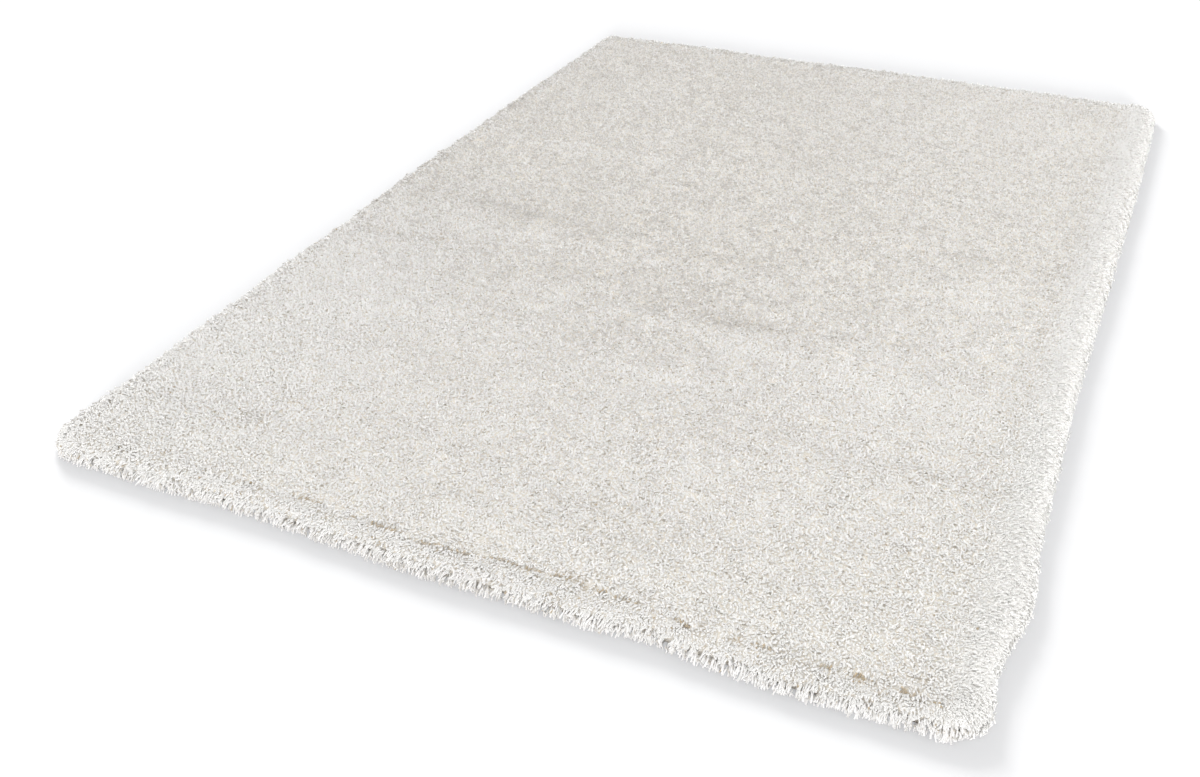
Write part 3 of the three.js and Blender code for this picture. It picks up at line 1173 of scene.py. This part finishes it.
# %% Finish of the lower yarns
def lying_yarns_group():
    """Patches of strands that lie side by side, each patch its own way."""
    group = bpy.data.node_groups.new("lying yarns", "ShaderNodeTree")
    add_sockets(group, "INPUT", Vector="Vector", Patch="Float", Strand="Float", Pore="Float")
    add_sockets(group, "OUTPUT", Height="Float", Gap="Float", Tone="Float", Pore="Float")
    t = Tree(group)
    given = t.node("NodeGroupInput").outputs
    patch_scale = t.maths("DIVIDE", 1.0, given["Patch"])
    cells = t.node("ShaderNodeTexVoronoi", {"Vector": given["Vector"], "Scale": patch_scale})
    borders = t.node(
        "ShaderNodeTexVoronoi",
        {"Vector": given["Vector"], "Scale": patch_scale},
        feature="DISTANCE_TO_EDGE",
    )
    pick = cells.outputs["Color"]
    way = t.vector("NORMALIZE", t.vector("SUBTRACT", pick, (0.5, 0.5, 0.5)))
    across = t.maths("DIVIDE", t.dot(given["Vector"], way), given["Strand"])
    wave = t.maths("SINE", t.maths("MULTIPLY", across, math.pi))
    strand = t.maths("ABSOLUTE", wave)
    middle = t.ramp(borders.outputs["Distance"], 0.0, 0.16)
    height = t.maths("MULTIPLY", t.maths("POWER", strand, 0.6), middle)
    # Low between the strands and at the borders of the patches is the gap, which the finish paints
    # darker: painted shade.
    gap = t.maths("SUBTRACT", 1.0, t.ramp(height, 0.15, 0.75))
    picks = t.node("ShaderNodeSeparateXYZ", {0: pick}).outputs

    # A pore is a dark spot in the middle of a patch, painted shade for a hole between the lying
    # yarns.
    # Patches have larger or smaller pores.
    size = t.maths("MULTIPLY", picks[1], given["Pore"])
    depth_in = t.maths("SUBTRACT", size, cells.outputs["Distance"])
    pore_shade = t.ramp(depth_in, 0.0, 0.12)
    t.node("NodeGroupOutput", {"Height": height, "Gap": gap, "Tone": picks[0], "Pore": pore_shade})
    return group


LYING_YARNS = lying_yarns_group()
DEPTH_COOL = srgb(250, 248, 245)
DEPTH_WARM = srgb(244, 240, 233)
DEPTH_GAP_SHADE = srgb(234, 227, 215)
DEPTH_PORE_SHADE = srgb(203, 195, 183)
DEPTH_FOOT_SHADE = srgb(164, 156, 145)
DEPTH_RIGHT_LIGHT = srgb(250, 248, 245)
DEPTH_UNDER = srgb(214, 207, 195)


def depth_material():
    """Lying yarns, with painted shade near the floor, between the strands and in their pores, and
    painted light along the right edge.
    """
    material, t, shader = new_finish("pile depth", roughness=0.95)
    where = t.node("ShaderNodeTexCoord").outputs["Object"]
    strands = t.node(
        "ShaderNodeGroup",
        {"Vector": where, "Patch": 0.009, "Strand": 0.0031, "Pore": 0.52},
        node_tree=LYING_YARNS,
    ).outputs
    yarn = t.blend(strands["Tone"], DEPTH_COOL, DEPTH_WARM)
    # Between the strands and in the pores the colour is painted darker: painted shade.
    colour = t.blend(strands["Gap"], yarn, DEPTH_GAP_SHADE)
    colour = t.blend(strands["Pore"], colour, DEPTH_PORE_SHADE)
    to_right, _, height = t.node("ShaderNodeSeparateXYZ", {0: where}).outputs
    # Near the floor the body is painted darker: painted shade under the rolled edge. Its flat
    # underside has a lighter colour of its own.
    low = t.blend(t.ramp(height, 0.0026, 0.0032), DEPTH_UNDER, DEPTH_FOOT_SHADE)
    colour = t.blend(t.ramp(height, 0.006, 0.020), low, colour)
    # Along the right edge the body is painted nearly white above the floor: painted light from the
    # right.
    right_light = t.ramp(to_right, *(HALF_WIDTH - margin for margin in RIGHT_LIGHT_MARGINS))
    right_light = t.maths("MULTIPLY", right_light, t.ramp(height, 0.003, 0.006))
    colour = t.blend(right_light, colour, DEPTH_RIGHT_LIGHT)
    bump = t.node(
        "ShaderNodeBump", {"Height": strands["Height"], "Distance": 0.0025, "Strength": 0.8}
    ).outputs[0]
    t.link(colour, shader.inputs["Base Color"])
    t.link(bump, shader.inputs["Normal"])
    return material


depth.data.materials.append(depth_material())
print(f"finish: {depth.data.materials[0].name}")


# %% [markdown]
# ## Floor and light
# The rug lies on a wide pale floor under an even bright sky, with a soft sun behind its left side.
# Two weak lamps, low in front and to the right, light the sides that roll down towards them. The
# soft shadow in front and to the right comes from two suns that are linked to the floor alone. They
# don't shine on the rug, but the floor throws some of their light up at the sides that roll down.
# It throws back as much as a pale floor does. To the camera it has a darker colour and a glow of
# its own, which together look white and leave the shadow. More light would make it white too, but
# would wash out the rug.

# %% Floor
FLOOR_HALF = 15
FLOOR_LEVEL = -0.0005
FLOOR_SEEN = (0.27, 0.27, 0.27, 1)
FLOOR_BOUNCE = (0.58, 0.58, 0.58, 1)
FLOOR_GLOW = (0.985, 0.99, 1.02, 1)
FLOOR_LIFT = 0.34

corners = [(sx * FLOOR_HALF, sy * FLOOR_HALF, 0) for sx, sy in ((-1, -1), (1, -1), (1, 1), (-1, 1))]
floor_mesh = bpy.data.meshes.new("floor")
floor_mesh.from_pydata(corners, [], [(0, 1, 2, 3)])
floor = add_object("floor", floor_mesh)
floor.location.z = FLOOR_LEVEL
floor_material, t, floor_shader = new_finish("floor", roughness=1.0, shine=0.0)
seen = t.node("ShaderNodeLightPath").outputs["Is Camera Ray"]
floor_colour = t.blend(seen, FLOOR_BOUNCE, FLOOR_SEEN)
t.link(floor_colour, floor_shader.inputs["Base Color"])
lift = t.maths("MULTIPLY", seen, FLOOR_LIFT)
floor_shader.inputs["Emission Color"].default_value = FLOOR_GLOW
t.link(lift, floor_shader.inputs["Emission Strength"])
floor.data.materials.append(floor_material)
print(f"floor {2 * FLOOR_HALF} m across")

# %% World
SKY_COLOUR = (1, 1, 1, 1)
SKY_STRENGTH = 1.0

world = bpy.data.worlds.new("studio")
world.use_nodes = True
scene.world = world
background = world.node_tree.nodes["Background"]
background.inputs["Color"].default_value = SKY_COLOUR
background.inputs["Strength"].default_value = SKY_STRENGTH
print(f"sky strength {SKY_STRENGTH}")

# %% Lamps
SUN_PLACE = Vector((-1.4, 1.6, 1.0))
LOW_PLACE = Vector((0.4, -1.2, 0.20))
FRONT_PLACE = Vector((0.2, -4.2, 0.4))
RIGHT_PLACE = Vector((3.8, -0.8, 0.4))
LAMP_SIZE = 1.2


def add_light(name, kind, place, **settings):
    """A lamp that faces the middle of the rug and isn't seen itself."""
    data = bpy.data.lights.new(name, kind)
    for key, value in settings.items():
        setattr(data, key, value)
    lamp = bpy.data.objects.new(name, data)
    scene.collection.objects.link(lamp)
    lamp.location = place
    lamp.rotation_euler = (-lamp.location).to_track_quat("-Z", "Y").to_euler()
    lamp.visible_camera = False
    return lamp


add_light("sun", "SUN", SUN_PLACE, energy=1.48, angle=math.radians(45))
floor_sun = add_light("floor sun", "SUN", SUN_PLACE, energy=6.0, angle=math.radians(17))
floor_low = add_light("floor low", "SUN", LOW_PLACE, energy=11.6, angle=math.radians(14))
floor_only = bpy.data.collections.new("floor only")
floor_only.objects.link(floor)
for lamp in (floor_sun, floor_low):
    lamp.light_linking.receiver_collection = floor_only
add_light("front lamp", "AREA", FRONT_PLACE, shape="DISK", size=LAMP_SIZE, energy=21)
add_light("right lamp", "AREA", RIGHT_PLACE, shape="DISK", size=LAMP_SIZE, energy=36)
print(f"{len(bpy.data.lights)} lamps and suns")

# %% Join everything to the frame
for piece in [ground, depth, *pile]:
    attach(piece, "root")
    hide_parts("rug")
